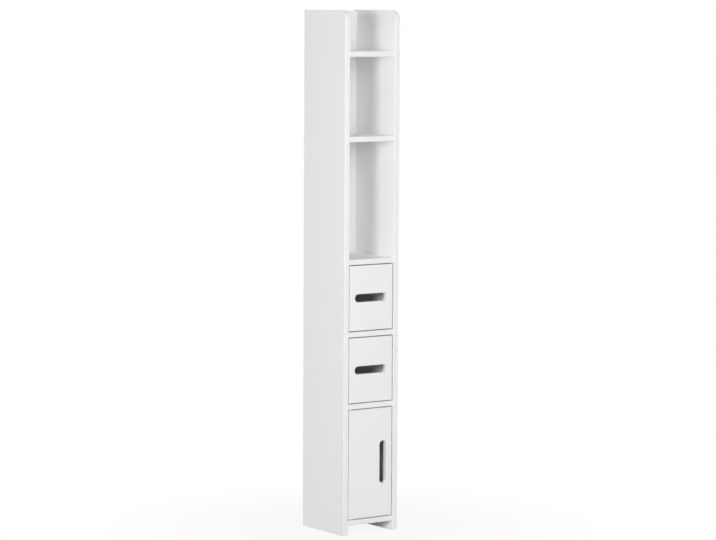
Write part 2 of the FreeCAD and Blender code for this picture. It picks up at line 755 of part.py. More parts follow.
def make_drawer(name, bay_z):
    front_z = bay_z + size.front_gap
    side_z = front_z + size.drawer_side_rise
    side_top_z = side_z + drawer_side_height
    base_z = side_z + size.base_rise
    side_middle = front_width / 2 - size.drawer_board / 2
    rear_middle_y = box_end_y - size.drawer_board / 2
    groove_height = size.base_board + 2 * size.groove_clearance

    def from_middle(side, length):
        return front_middle_x + toward(side, length)

    def front_places(side, heights):
        return [(from_middle(side, side_middle), front_back_y, z, TURNS["+Y"]) for z in heights]

    cam_z = side_top_z - size.drawer_cam_drop
    dowel_heights = (side_z + size.drawer_dowel_setin, side_top_z - size.drawer_dowel_drop)
    screw_heights = (side_z + size.drawer_screw_setin, side_top_z - size.drawer_screw_drop)
    bolts = {side: front_places(side, [cam_z]) for side in (LEFT, RIGHT)}
    dowels = {side: front_places(side, dowel_heights) for side in (LEFT, RIGHT)}
    cam_y = front_back_y + size.drawer_cam_backset
    cams = {
        side: [(from_middle(side, drawer_inside / 2), cam_y, cam_z, DRAWER_CAM_TURNS[side])]
        for side in (LEFT, RIGHT)
    }
    side_screws = {
        side: [(from_middle(side, front_width / 2), rear_middle_y, z, inward(side)) for z in screw_heights]
        for side in (LEFT, RIGHT)
    }
    base_screws = [
        (from_middle(side, drawer_inside / 2 - size.base_screw_setin), rear_middle_y, base_z, TURNS["+Z"])
        for side in (LEFT, RIGHT)
    ]

    def make_drawer_front():
        front = make_front(
            name + "_front_blank", front_z, drawer_front_height, size.drawer_slot, front_width / 2, False,
        )
        groove = new_sketch(
            front, "XZ_Plane", size.drawer_board - size.base_tongue,
            base_z - front_z - size.groove_clearance, size.front_board,
        )
        draw_rectangle(groove, drawer_inside + 2 * size.base_tongue, groove_height)
        pocket(front, groove, "XZ_Plane", size.base_tongue, False)
        drill(
            name + "_front", front,
            (drawer_bolt_hole, bolts[LEFT] + bolts[RIGHT]),
            (drawer_dowel_hole, dowels[LEFT] + dowels[RIGHT]),
        )

    def make_drawer_side(side):
        label = f"{name}_{'left' if side == LEFT else 'right'}_side"
        x = front_x if side == LEFT else front_end_x - size.drawer_board
        outer_face = ZERO if side == LEFT else size.drawer_board
        inner_face = size.drawer_board if side == LEFT else ZERO
        body = new_body(label + "_blank", x, front_back_y, side_z)
        sketch = new_sketch(body, "YZ_Plane")
        draw_rectangle(sketch, box_depth, drawer_side_height)
        pad(body, sketch, "YZ_Plane", size.drawer_board)
        round_edges(body, size.edge_radius, lambda edge, whole: same(edge.ZMin, edge.ZMax, whole.ZMax)
                    and same(edge.XMin, edge.XMax))
        runner_groove_height = size.runner_height + 2 * size.runner_clearance
        runner_groove = new_sketch(
            body, "YZ_Plane", size.runner_lead, size.runner_rise - runner_groove_height / 2, outer_face,
        )
        draw_rectangle(runner_groove, box_depth - size.runner_lead + size.overrun, runner_groove_height)
        pocket(body, runner_groove, "YZ_Plane", size.runner_engage + size.runner_clearance, side == LEFT)
        base_groove = new_sketch(
            body, "YZ_Plane", -size.overrun, size.base_rise - size.groove_clearance, inner_face,
        )
        draw_rectangle(base_groove, box_depth + 2 * size.overrun, groove_height)
        pocket(body, base_groove, "YZ_Plane", size.base_tongue, side == RIGHT)
        drill(
            label, body,
            (drawer_cam_hole, cams[side]),
            (drawer_bolt_hole, bolts[side]),
            (drawer_dowel_hole, dowels[side]),
            (long_screw_hole, side_screws[side]),
        )

    def make_drawer_back():
        z = base_z + size.base_board + size.groove_clearance
        x = front_x + size.drawer_board
        body = new_body(name + "_back_blank", x, box_end_y - size.drawer_board, z)
        sketch = new_sketch(body, "XZ_Plane")
        draw_rectangle(sketch, drawer_inside, side_top_z - z)
        pad(body, sketch, "XZ_Plane", size.drawer_board)
        round_edges(body, size.edge_radius, lambda edge, whole: same(edge.ZMin, edge.ZMax, whole.ZMax)
                    and same(edge.YMin, edge.YMax))
        drill(
            name + "_back", body,
            (long_screw_hole, side_screws[LEFT] + side_screws[RIGHT]),
            (screw_hole, base_screws),
        )

    def make_drawer_base():
        tongue = size.base_tongue - size.groove_clearance
        x = front_x + size.drawer_board - tongue
        body = new_body(name + "_base_blank", x, front_back_y - tongue, base_z)
        sketch = new_sketch(body, "XY_Plane")
        draw_rectangle(sketch, drawer_inside + 2 * tongue, box_depth + tongue)
        pad(body, sketch, "XY_Plane", size.base_board)
        drill(name + "_base", body, (screw_hole, base_screws))

    make_drawer_front()
    make_drawer_side(LEFT)
    make_drawer_side(RIGHT)
    make_drawer_back()
    make_drawer_base()
    screws = [
        copies(name + "_side_screws", long_screw, side_screws[LEFT] + side_screws[RIGHT]),
        copies(name + "_base_screws", screw, base_screws),
    ]
    all_screws = document.addObject("Part::Compound", name + "_screws")
    all_screws.Links = screws
    keep(all_screws, name + "_screws")
    keep(copies(name + "_cam_locks", drawer_cam, cams[LEFT] + cams[RIGHT]), name + "_cam_locks")
    keep(copies(name + "_cam_bolts", drawer_bolt, bolts[LEFT] + bolts[RIGHT]), name + "_cam_bolts")
    keep(copies(name + "_dowels", drawer_dowel, dowels[LEFT] + dowels[RIGHT]), name + "_dowels")


# Door, its hinge and its catch

def make_hinge():
    """Bushes in the boards above and below the door, and pins in the door's ends."""
    bore = size.pin_radius + size.pin_running_clearance
    flange = size.front_gap - size.bush_flange_clearance
    sleeve = turned("bush_sleeve", (
        (size.bush_flange_radius, size.bush_flange_radius, flange),
        (size.bush_radius, size.bush_radius, size.bush_length),
    ), -flange)
    bush_bore = turned("bush_bore", (
        (bore, bore, flange + size.bush_length + 2 * size.overrun),
    ), -flange - size.overrun)
    bush = cut("bush", sleeve, bush_bore)
    pin_below = size.front_gap + size.pin_in_door
    pin = turned("pin", ((size.pin_radius, size.pin_radius, pin_below + size.pin_in_bush),), -pin_below)
    for end, where in HINGE_PLACES.items():
        keep(copies(f"{end}_hinge_bush", bush, [where]), f"{end}_hinge_bush")
        keep(copies(f"{end}_hinge_pin", pin, [where]), f"{end}_hinge_pin")


def make_bush_hole():
    radius = size.bush_radius + size.fit_clearance
    length = size.bush_length + size.end_clearance + size.overrun
    return turned("bush_hole", ((radius, radius, length),), -size.overrun)


def make_door():
    slot_x = front_width - size.door_slot_edge - size.slot_width / 2
    body = make_front("door_panel_blank", door_z, door_height, size.door_slot, slot_x, True)
    radius = size.pin_radius + size.fit_clearance
    depth = size.front_gap + size.pin_in_door + size.end_clearance
    pin_hole = turned("pin_hole", ((radius, radius, depth),), -depth)
    drill("door_panel", body, (pin_hole, HINGE_PLACES.values()), (screw_hole, STRIKE_SCREW_PLACES))


def make_catch():
    half_block = size.catch_block_width / 2
    half_all = half_block + size.catch_ear_width
    body = new_body("catch_housing_blank", catch_x - half_all, catch_face_y, cupboard_divider_z)
    outline = new_sketch(body, "XZ_Plane")
    ear = -size.catch_ear_thickness
    block_left = size.catch_ear_width
    block_right = size.catch_ear_width + size.catch_block_width
    draw_polygon(outline, [
        (ZERO, ZERO), (ZERO, ear), (block_left, ear), (block_left, -size.catch_height),
        (block_right, -size.catch_height), (block_right, ear), (2 * half_all, ear), (2 * half_all, ZERO),
    ])
    pad(body, outline, "XZ_Plane", size.catch_depth)
    round_edges(body, size.catch_rounding, lambda edge, whole: same(edge.XMin, edge.XMax)
                and not same(edge.ZMin, whole.ZMax) and same(edge.ZMin, edge.ZMax))
    stack = size.magnet_thickness + 2 * size.pole_thickness
    cavity_width = size.magnet_width + 2 * size.magnet_clearance
    cavity_height = stack + 2 * size.magnet_clearance
    cavity = new_sketch(
        body, "XZ_Plane", half_all - cavity_width / 2, -size.catch_drop - cavity_height / 2,
    )
    draw_rectangle(cavity, cavity_width, cavity_height)
    pocket(body, cavity, "XZ_Plane", size.magnet_depth + size.magnet_clearance, True)
    drill("catch_housing", body, (screw_hole, CATCH_SCREW_PLACES))

    left = catch_x - size.magnet_width / 2
    magnet_low = magnet_z - size.magnet_thickness / 2
    magnet_high = magnet_z + size.magnet_thickness / 2
    keep(block(
        "catch_magnet", left, catch_face_y, magnet_low,
        size.magnet_width, size.magnet_depth, size.magnet_thickness,
    ), "catch_magnet")
    plates = [
        block(
            "pole_plate", left, catch_face_y - size.pole_proud, z,
            size.magnet_width, size.magnet_depth + size.pole_proud, size.pole_thickness,
        )
        for z in (magnet_low - size.pole_thickness, magnet_high)
    ]
    poles = document.addObject("Part::Compound", "catch_pole_plates")
    poles.Links = plates
    keep(poles, "catch_pole_plates")
    keep(copies("catch_screws", screw, CATCH_SCREW_PLACES), "catch_screws")

    strike = new_body(
        "strike_plate_blank", catch_x - size.strike_width / 2, front_back_y,
        magnet_z - size.strike_height / 2,
    )
    plate = new_sketch(strike, "XZ_Plane")
    draw_rectangle(plate, size.strike_width, size.strike_height)
    pad(strike, plate, "XZ_Plane", size.strike_thickness)
    round_edges(strike, size.strike_corner, lambda edge, whole: not same(edge.YMin, edge.YMax))
    drill("strike_plate", strike, (screw_hole, STRIKE_SCREW_PLACES))
    keep(copies("strike_screws", screw, STRIKE_SCREW_PLACES), "strike_screws")


# Wall bracket

def make_bracket():
    leg = size.bracket_leg
    gauge = size.bracket_thickness
    left = -size.bracket_offset - size.bracket_width / 2
    body = new_body("wall_bracket_blank", left, back_face_y - leg, upper_shelf_top_z)
    profile = new_sketch(body, "YZ_Plane")
    draw_polygon(profile, [
        (ZERO, ZERO), (leg, ZERO), (leg, leg), (leg - gauge, leg), (leg - gauge, gauge), (ZERO, gauge),
    ])
    pad(body, profile, "YZ_Plane", size.bracket_width)

    def on_leg_end(edge, whole):
        wall_leg = same(edge.ZMin, edge.ZMax, whole.ZMax)
        shelf_leg = same(edge.YMin, edge.YMax, whole.YMin)
        return same(edge.XMin, edge.XMax) and (wall_leg or shelf_leg)

    round_edges(body, size.bracket_corner, on_leg_end)
    anchor_hole = turned("anchor_hole", (
        (size.anchor_radius, size.anchor_radius, gauge + 2 * size.overrun),
    ), -size.overrun)
    drill("wall_bracket", body, (screw_hole, BRACKET_SCREW_PLACES), (anchor_hole, [ANCHOR_PLACE]))
    keep(copies("wall_bracket_screws", screw, BRACKET_SCREW_PLACES), "wall_bracket_screws")


# The whole cabinet

make_side_panel(LEFT)
make_side_panel(RIGHT)
make_back_panel()
bush_hole = make_bush_hole()
extra_holes = {
    "bottom_panel": [(bush_hole, [HINGE_PLACES["lower"]])],
    "cupboard_divider": [(bush_hole, [HINGE_PLACES["upper"]]), (screw_hole, CATCH_SCREW_PLACES)],
    "upper_shelf": [(screw_hole, BRACKET_SCREW_PLACES)],
}
for board_label, board_z in BOARDS.items():
    make_board(board_label, board_z, *extra_holes.get(board_label, []))
make_carcass_fasteners()

for drawer_name, drawer_z in DRAWERS.items():
    make_runner(drawer_name + "_left_runner", LEFT, drawer_z)
    make_runner(drawer_name + "_right_runner", RIGHT, drawer_z)
    make_drawer(drawer_name, drawer_z)
runner_screws = copies("runner_screws", runner_screw, runner_screw_places((LEFT, RIGHT), DRAWERS.values()))
keep(runner_screws, "runner_screws")

make_hinge()
make_door()
make_catch()
make_bracket()

document.recompute()
failed = [piece.Label for piece in document.Objects if {"Invalid", "Error"} & set(piece.State)]
if failed:
    raise RuntimeError(f"failed: {failed}")
for part in parts:
    if part.Shape.isNull() or not part.Shape.isValid():
        raise RuntimeError(f"bad shape: {part.Label}")

os.makedirs("parts", exist_ok=True)
for part in parts:
    part.Shape.exportStep(f"parts/{part.Label}.step")
    print(part.Label, len(part.Shape.Solids), "solids", round(part.Shape.Volume, 1), "mm3")
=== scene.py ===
"""The column cabinet's looks: white-faced boards with their raw cores, and the hardware inside.

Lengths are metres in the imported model's frame: +Z up, X to the right, and the front faces -Y.
"""
import json
import math

import bmesh
import bpy
from mathutils import Euler, Matrix, Vector

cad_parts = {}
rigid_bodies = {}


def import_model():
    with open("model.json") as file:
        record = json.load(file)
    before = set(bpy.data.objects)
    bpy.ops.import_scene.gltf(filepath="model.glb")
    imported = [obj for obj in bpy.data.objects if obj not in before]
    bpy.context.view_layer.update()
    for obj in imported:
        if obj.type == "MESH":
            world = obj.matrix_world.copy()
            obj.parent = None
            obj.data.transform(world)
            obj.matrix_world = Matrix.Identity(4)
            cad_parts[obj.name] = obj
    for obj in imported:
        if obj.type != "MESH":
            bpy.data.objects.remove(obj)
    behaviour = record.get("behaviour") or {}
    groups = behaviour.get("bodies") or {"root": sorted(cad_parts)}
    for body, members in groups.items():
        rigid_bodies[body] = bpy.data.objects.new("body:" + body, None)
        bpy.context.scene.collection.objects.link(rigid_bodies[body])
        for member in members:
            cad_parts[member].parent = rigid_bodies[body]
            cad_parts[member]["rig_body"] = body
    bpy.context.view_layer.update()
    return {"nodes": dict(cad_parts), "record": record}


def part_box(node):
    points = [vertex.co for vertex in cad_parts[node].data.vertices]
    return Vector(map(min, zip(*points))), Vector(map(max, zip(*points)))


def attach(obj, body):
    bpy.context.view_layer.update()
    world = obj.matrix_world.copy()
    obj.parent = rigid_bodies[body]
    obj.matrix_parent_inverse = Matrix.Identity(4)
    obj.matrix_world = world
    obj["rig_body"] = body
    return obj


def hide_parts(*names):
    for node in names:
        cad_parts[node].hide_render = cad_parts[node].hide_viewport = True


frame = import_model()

MILLIMETRE = 0.001

# Boards: the film or edge band is this thick, and the core shows wherever a surface lies deeper
FILM = 0.5 * MILLIMETRE
HARDBOARD_FILM = 0.2 * MILLIMETRE
# Edge bands end in a fine seam of glue
BAND = 1.0 * MILLIMETRE
SEAM = 0.15 * MILLIMETRE
SEAM_SHARE = 0.5
SEAM_COLOUR = (0.60, 0.58, 0.54, 1)
# The side panels' round top front corner
CORNER_RADIUS = 30 * MILLIMETRE
# Relief of a cored board, the pearl's share of it on the film, and relief of a board that is white all over
CORE_RELIEF = 0.12 * MILLIMETRE
PEARL_SHARE = 0.15
FILM_RELIEF = 0.02 * MILLIMETRE

# Where in a noise's range its low and its high colour are reached
COLOUR_REACH = (0.3, 0.7)

# Satin film: grains of its clouds, its pearled surface and its shine, and its low and high colours
FILM_CLOUDS = 90 * MILLIMETRE
FILM_PEARL = 0.9 * MILLIMETRE
FILM_SHINE = 6 * MILLIMETRE
FILM_ROUGHNESS = (0.40, 0.50)
WHITE_FILM = ((0.928, 0.928, 0.926), (0.938, 0.938, 0.937))
# The drawer boxes' grey is painted shade: it darkens what shows through the drawer slots
PAINTED_SHADE_DRAWER_FILM = ((0.68, 0.68, 0.685), (0.72, 0.72, 0.725))

# Chipboard: grains of its flakes, of the patches of fine ones and of the dust between them. An onset is the
# part of a noise's range over which such a thing comes in
FLAKE_STOPS = [
    (0.0, (0.22, 0.125, 0.06)),
    (0.2, (0.40, 0.26, 0.135)),
    (0.6, (0.52, 0.36, 0.20)),
    (1.0, (0.64, 0.48, 0.30)),
]
COARSE_FLAKES = 2.0 * MILLIMETRE
FINE_FLAKES = 0.8 * MILLIMETRE
FLAKE_STRETCH = (1, 1.5, 1.5)
FLAKE_PATCHES = 2.5 * MILLIMETRE
PATCH_ONSET = (0.42, 0.52)
DUST = 0.5 * MILLIMETRE
DUST_ONSET = (0.4, 0.7)
DUST_SHARE = 0.6
DUST_COLOUR = (0.44, 0.30, 0.165, 1)
CHIPBOARD_ROUGHNESS = 0.9

# Hardboard: grains of its blotches and its hairs, how much longer than wide the hairs are, and the ways
# they lie, in degrees from upright
BLOTCH_STOPS = [
    (0.3, (0.245, 0.143, 0.075)),
    (0.5, (0.285, 0.170, 0.092)),
    (0.7, (0.325, 0.198, 0.110)),
]
BLOTCHES = 14 * MILLIMETRE
HAIRS = 0.6 * MILLIMETRE
HAIR_STRETCH = (1, 1, 6)
HAIR_HEADINGS = (55, 130)
HAIR_ONSET = (0.57, 0.70)
HAIR_SHARE = 0.8
HAIR_COLOUR = (0.42, 0.275, 0.165, 1)
HARDBOARD_ROUGHNESS = 0.8

# Metal and plastic: the relief's grain as a share of the clouds' on metal, and the grains on plastic
METAL_RELIEF = 0.02 * MILLIMETRE
METAL_RELIEF_SHARE = 0.25
PLASTIC_CLOUDS = 8 * MILLIMETRE
PLASTIC_SKIN = 0.35 * MILLIMETRE

# Beech: grains of its streaks and flecks, and its low and high colours
BEECH_STREAKS = 0.8 * MILLIMETRE
BEECH_FLECKS = 0.3 * MILLIMETRE
BEECH_COLOURS = ((0.47, 0.29, 0.15), (0.63, 0.43, 0.25))
FLECK_ONSET = (0.9, 0.92)
FLECK_SHARE = 0.7
FLECK_COLOUR = (0.33, 0.18, 0.09, 1)
BEECH_ROUGHNESS = 0.7
BEECH_RELIEF = 0.05 * MILLIMETRE

# Sockets of Blender's mix node that take and give colours: other kinds of socket have the same names
MIX_FIRST = 6
MIX_SECOND = 7
MIX_RESULT = 2

# Fasteners: corners round a ring, rows along one turn of a thread, and the thread's shape along a turn
RING_SIDES = 20
ROWS_PER_TURN = 8
RIDGE_FOOT_SHARE = 0.28
RIDGE_CREST_SHARE = 0.08
# Edges that bend by more than this stay sharp
SHARP_ANGLE = math.radians(30)
# Corners of a CAD solid that are nearer than this are one, and this share of its length is its end
WELD = 0.001 * MILLIMETRE
END_SHARE = 0.1

SCREW_RIM = 0.2 * MILLIMETRE
SCREW_HEAD_HEIGHT = 1.8 * MILLIMETRE
SCREW_NECK = 1.0 * MILLIMETRE
SCREW_ROOT = 1.1 * MILLIMETRE
SCREW_CREST = 1.6 * MILLIMETRE
SCREW_PITCH = 1.4 * MILLIMETRE
SCREW_POINT = 3.0 * MILLIMETRE

RECESS_ARMS = 4
RECESS_ARM = 1.7 * MILLIMETRE
RECESS_HALF_WIDTH = 0.45 * MILLIMETRE
RECESS_DEPTH = 1.3 * MILLIMETRE
RECESS_TAPER_SHARE = 0.45

BOLT_ROUNDING = 0.4 * MILLIMETRE
BOLT_HEAD_LENGTH = 2.5 * MILLIMETRE
BOLT_NECK_LENGTH = 3.0 * MILLIMETRE
BOLT_NECK = 1.7 * MILLIMETRE
BOLT_SHANK = 2.4 * MILLIMETRE
BOLT_COLLAR_LENGTH = 1.2 * MILLIMETRE
BOLT_COLLAR = 3.1 * MILLIMETRE
BOLT_THREAD_LENGTH = 10.5 * MILLIMETRE
BOLT_ROOT = 2.0 * MILLIMETRE
BOLT_CREST = 2.9 * MILLIMETRE
BOLT_PITCH = 2.2 * MILLIMETRE

FLUTES = 20
FLUTE_DEPTH = 0.35 * MILLIMETRE
DOWEL_BEVEL = 1.0 * MILLIMETRE
DOWEL_BEVEL_RISE = 0.5 * MILLIMETRE

NAIL_HEAD_HEIGHT = 0.6 * MILLIMETRE
NAIL_SHANK = 0.8 * MILLIMETRE
NAIL_GROOVE = 0.12 * MILLIMETRE
NAIL_GROOVE_PITCH = 0.8 * MILLIMETRE
NAIL_GROOVES = 5
NAIL_POINT = 2.4 * MILLIMETRE

# The camera, as fitted to the photograph: place, heading from +Y towards +X, pitch and roll in degrees
CAMERA_PLACE = (-5.094, -7.150, 1.6424)
CAMERA_HEADING = 35.61
CAMERA_PITCH = -5.461
CAMERA_ROLL = 0.293
# Blender's camera looks straight down until it's turned up by this, in degrees
CAMERA_LEVEL = 90
CAMERA_LENS = 144.1
CAMERA_SENSOR = 36.0

# Soft boxes: heading from the front towards the right and height in degrees, distance, width, height,
# and level, where 1 lights a facing surface so that its colour renders as written
SOFT_BOXES = {
    "key": (-60.5, 8, 5.0, 1.05, 1.2, 0.415),
    "front_fill": (-12, 5, 5.0, 1.6, 2.3, 0.25),
    "left_fill": (-25, 24, 5.0, 3.0, 1.6, 0.185),
    "high_fill": (0, 45, 6.0, 3.6, 3.6, 0.10),
    "side_fill": (-82, 5, 5.0, 1.3, 2.3, 0.10),
    "top_fill": (0, 85, 4.0, 3.0, 3.0, 0.045),
    "right_fill": (105, 35, 5.0, 3.0, 3.0, 0.34),
    "back_fill": (165, 40, 5.0, 3.0, 3.0, 0.34),
}
LIGHT_AIM = Vector((0, 0, 0.8))
AMBIENT_LEVEL = 0.05

FLOOR_SIZE = 60.0
FLOOR_COLOUR = (0.6, 0.6, 0.6, 1)
# Share of plain white in what the camera sees of the floor: the rest is the lit floor with its shadows,
# and it fades out between the two distances from the cabinet
FLOOR_WHITE_SHARE = 0.9
FLOOR_FADE = (0.15, 0.9)
WHITE = (1, 1, 1, 1)


class Finish:
    """A node material in the making, on the object's own coordinates."""

    def __init__(self, name):
        self.material = bpy.data.materials.new(name)
        self.material.use_nodes = True
        self.tree = self.material.node_tree
        self.tree.nodes.clear()
        self.surface = self.add("ShaderNodeBsdfPrincipled")
        output = self.add("ShaderNodeOutputMaterial")
        self.link(self.surface.outputs["BSDF"], output.inputs["Surface"])
        self.place = self.add("ShaderNodeTexCoord").outputs["Object"]
        self.axes = self.add("ShaderNodeSeparateXYZ")
        self.link(self.place, self.axes.inputs["Vector"])

    def add(self, kind, **settings):
        node = self.tree.nodes.new(kind)
        for name, value in settings.items():
            setattr(node, name, value)
        return node

    def link(self, source, target):
        self.tree.links.new(source, target)

    def feed(self, socket, value):
        """Links a socket, or sets a plain number or colour."""
        if isinstance(value, bpy.types.NodeSocket):
            self.link(value, socket)
        else:
            socket.default_value = value

    def set(self, **values):
        for name, value in values.items():
            self.feed(self.surface.inputs[name.replace("_", " ")], value)

    def math(self, operation, first, second=0.0):
        node = self.add("ShaderNodeMath", operation=operation)
        self.feed(node.inputs[0], first)
        self.feed(node.inputs[1], second)
        return node.outputs["Value"]

    def stretched(self, stretch, turn=(0, 0, 0)):
        """The object's coordinates, turned, and then squeezed along each axis by the stretch."""
        node = self.add("ShaderNodeMapping", vector_type="TEXTURE")
        self.link(self.place, node.inputs["Vector"])
        node.inputs["Rotation"].default_value = turn
        node.inputs["Scale"].default_value = stretch
        return node.outputs["Vector"]

    def noise(self, grain, detail=2.0, stretch=(1, 1, 1), turn=(0, 0, 0)):
        """Soft noise whose features are about one grain across."""
        node = self.add("ShaderNodeTexNoise")
        self.link(self.stretched(stretch, turn), node.inputs["Vector"])
        node.inputs["Scale"].default_value = 1 / grain
        node.inputs["Detail"].default_value = detail
        return node.outputs["Fac"]

    def flakes(self, grain, stretch=(1, 1, 1)):
        """A random value for each flake of about one grain across."""
        node = self.add("ShaderNodeTexVoronoi")
        self.link(self.stretched(stretch), node.inputs["Vector"])
        node.inputs["Scale"].default_value = 1 / grain
        split = self.add("ShaderNodeSeparateColor")
        self.link(node.outputs["Color"], split.inputs["Color"])
        return split.outputs["Red"]

    def ramp(self, value, stops):
        """Colours or greys at (position, colour) stops."""
        node = self.add("ShaderNodeValToRGB")
        self.link(value, node.inputs["Fac"])
        elements = node.color_ramp.elements
        while len(elements) < len(stops):
            # A new stop starts in the middle, and gets its own place below
            elements.new(0.5)
        for element, (position, colour) in zip(elements, stops):
            element.position = position
            element.color = (*colour, 1)
        return node.outputs["Color"]

    def blend(self, value, low, high):
        """Two colours over the middle of a noise's range."""
        return self.ramp(value, list(zip(COLOUR_REACH, (low, high))))

    def between(self, value, low, high, start=0.0, end=1.0):
        """Spreads what a value has from start to end over the range from low to high."""
        node = self.add("ShaderNodeMapRange")
        self.link(value, node.inputs["Value"])
        node.inputs["From Min"].default_value = start
        node.inputs["From Max"].default_value = end
        node.inputs["To Min"].default_value = low
        node.inputs["To Max"].default_value = high
        return node.outputs["Result"]

    def mix(self, share, first, second):
        node = self.add("ShaderNodeMix", data_type="RGBA")
        self.feed(node.inputs["Factor"], share)
        self.feed(node.inputs[MIX_FIRST], first)
        self.feed(node.inputs[MIX_SECOND], second)
        return node.outputs[MIX_RESULT]

    def bump(self, height, depth):
        node = self.add("ShaderNodeBump")
        self.link(height, node.inputs["Height"])
        node.inputs["Distance"].default_value = depth
        self.link(node.outputs["Normal"], self.surface.inputs["Normal"])

    def depth_under(self, planes, outline=None):
        """How deep a surface lies under the nearest of the (axis, place) planes and of an outline."""
        depth = outline
        for axis, place in planes:
            away = self.math("ABSOLUTE", self.math("SUBTRACT", self.axes.outputs[axis], place))
            depth = away if depth is None else self.math("MINIMUM", depth, away)
        return depth

    def hairline(self, depth, place, width):
        """1 on a fine line where the depth is as given."""
        away = self.math("ABSOLUTE", self.math("SUBTRACT", depth, place))
        return self.math("LESS_THAN", away, width / 2)

    def rounded_outline(self, front, top, radius):
        """Depth under an upright board's front and top edges, which meet in a round corner."""
        forward = self.math("MAXIMUM", self.math("SUBTRACT", front + radius, self.axes.outputs["Y"]), 0.0)
        upward = self.math("MAXIMUM", self.math("SUBTRACT", self.axes.outputs["Z"], top - radius), 0.0)
        squares = self.math("ADD", self.math("POWER", forward, 2.0), self.math("POWER", upward, 2.0))
        return self.math("SUBTRACT", radius, self.math("SQRT", squares))


def grey(level):
    return (level, level, level)


# Board finishes

def satin_film(finish, low, high):
    """Satin melamine: a faint cloudiness between two colours, and a fine pearled surface."""
    clouds = finish.noise(FILM_CLOUDS, detail=3.0)
    pearl = finish.noise(FILM_PEARL, detail=2.0)
    roughness = finish.between(finish.noise(FILM_SHINE, detail=4.0), *FILM_ROUGHNESS)
    return finish.blend(clouds, low, high), roughness, pearl


def white_film(finish):
    return satin_film(finish, *WHITE_FILM)


def painted_shade_drawer_film(finish):
    """The film of the drawer boxes, whose grey is painted shade that darkens what shows through the drawer
    slots.
    """
    return satin_film(finish, *PAINTED_SHADE_DRAWER_FILM)


def chipboard(finish):
    """Pressed wood chips: patches of coarse and of fine flakes, pale and dark, with dust between them."""
    coarse = finish.flakes(COARSE_FLAKES, FLAKE_STRETCH)
    fine = finish.flakes(FINE_FLAKES, FLAKE_STRETCH)
    patches = finish.between(finish.noise(FLAKE_PATCHES, detail=1.0), 0.0, 1.0, *PATCH_ONSET)
    flakes = finish.mix(patches, finish.ramp(coarse, FLAKE_STOPS), finish.ramp(fine, FLAKE_STOPS))
    dust = finish.between(finish.noise(DUST, detail=4.0), 0.0, DUST_SHARE, *DUST_ONSET)
    return finish.mix(dust, flakes, DUST_COLOUR), CHIPBOARD_ROUGHNESS, coarse


def raw_hardboard(finish):
    """Brown pressed fibre: soft blotches, and fine hairs that lie several ways."""
    blotches = finish.ramp(finish.noise(BLOTCHES, detail=5.0), BLOTCH_STOPS)
    hairs = finish.noise(HAIRS, detail=3.0, stretch=HAIR_STRETCH)
    for heading in HAIR_HEADINGS:
        turn = (0, math.radians(heading), 0)
        others = finish.noise(HAIRS, detail=3.0, stretch=HAIR_STRETCH, turn=turn)
        hairs = finish.math("MAXIMUM", hairs, others)
    pale = finish.between(hairs, 0.0, HAIR_SHARE, *HAIR_ONSET)
    return finish.mix(pale, blotches, HAIR_COLOUR), HARDBOARD_ROUGHNESS, hairs


def board_finish(name, core, thickness, planes, outline=None, banded=(), film=white_film):
    """Film outside, the core wherever the film was cut through, and a seam behind each edge band."""
    finish = Finish(name)
    edge = finish.rounded_outline(*outline) if outline else None
    bare = finish.math("GREATER_THAN", finish.depth_under(planes, edge), thickness)
    film_colour, film_roughness, pearl = film(finish)
    if edge or banded:
        seam = finish.hairline(finish.depth_under(banded, edge), BAND, SEAM)
        film_colour = finish.mix(finish.between(seam, 0.0, SEAM_SHARE), film_colour, SEAM_COLOUR)
    core_colour, core_roughness, chips = core(finish)
    roughness = finish.mix(bare, film_roughness, (*grey(core_roughness), 1))
    finish.set(Base_Color=finish.mix(bare, film_colour, core_colour), Roughness=roughness)
    finish.bump(finish.mix(bare, finish.between(pearl, 0.0, PEARL_SHARE), chips), CORE_RELIEF)
    return finish.material


def all_white_finish(name):
    """White film all over, in slots and holes too."""
    finish = Finish(name)
    colour, roughness, pearl = white_film(finish)
    finish.set(Base_Color=colour, Roughness=roughness)
    finish.bump(pearl, FILM_RELIEF)
    return finish.material


# Finishes of the hardware

def metal_finish(name, low, high, roughness, grain, stretch=(1, 1, 1)):
    """Bare or plated metal with streaks and clouds in its shine."""
    finish = Finish(name)
    clouds = finish.noise(grain, detail=4.0, stretch=stretch)
    finish.set(
        Base_Color=finish.blend(clouds, low, high),
        Metallic=1.0,
        Roughness=finish.between(clouds, *roughness),
    )
    relief = finish.noise(METAL_RELIEF_SHARE * grain, detail=3.0, stretch=stretch)
    finish.bump(relief, METAL_RELIEF)
    return finish.material


def plastic_finish(name, low, high, roughness, depth):
    """Moulded plastic, powder paint or pressed ferrite, with an eroded or pebbled skin."""
    finish = Finish(name)
    clouds = finish.noise(PLASTIC_CLOUDS, detail=3.0)
    skin = finish.noise(PLASTIC_SKIN, detail=2.0)
    finish.set(Base_Color=finish.blend(clouds, low, high), Roughness=finish.between(skin, *roughness))
    finish.bump(skin, depth)
    return finish.material


def beech_finish(name, streak, fleck):
    """Beech along a dowel: pale streaks with short dark flecks, each drawn out along the dowel."""
    finish = Finish(name)
    streaks = finish.noise(BEECH_STREAKS, detail=5.0, stretch=streak)
    flecks = finish.flakes(BEECH_FLECKS, fleck)
    colour = finish.blend(streaks, *BEECH_COLOURS)
    fleck_share = finish.between(flecks, 0.0, FLECK_SHARE, *FLECK_ONSET)
    finish.set(Base_Color=finish.mix(fleck_share, colour, FLECK_COLOUR), Roughness=BEECH_ROUGHNESS)
    finish.bump(streaks, BEECH_RELIEF)
    return finish.material


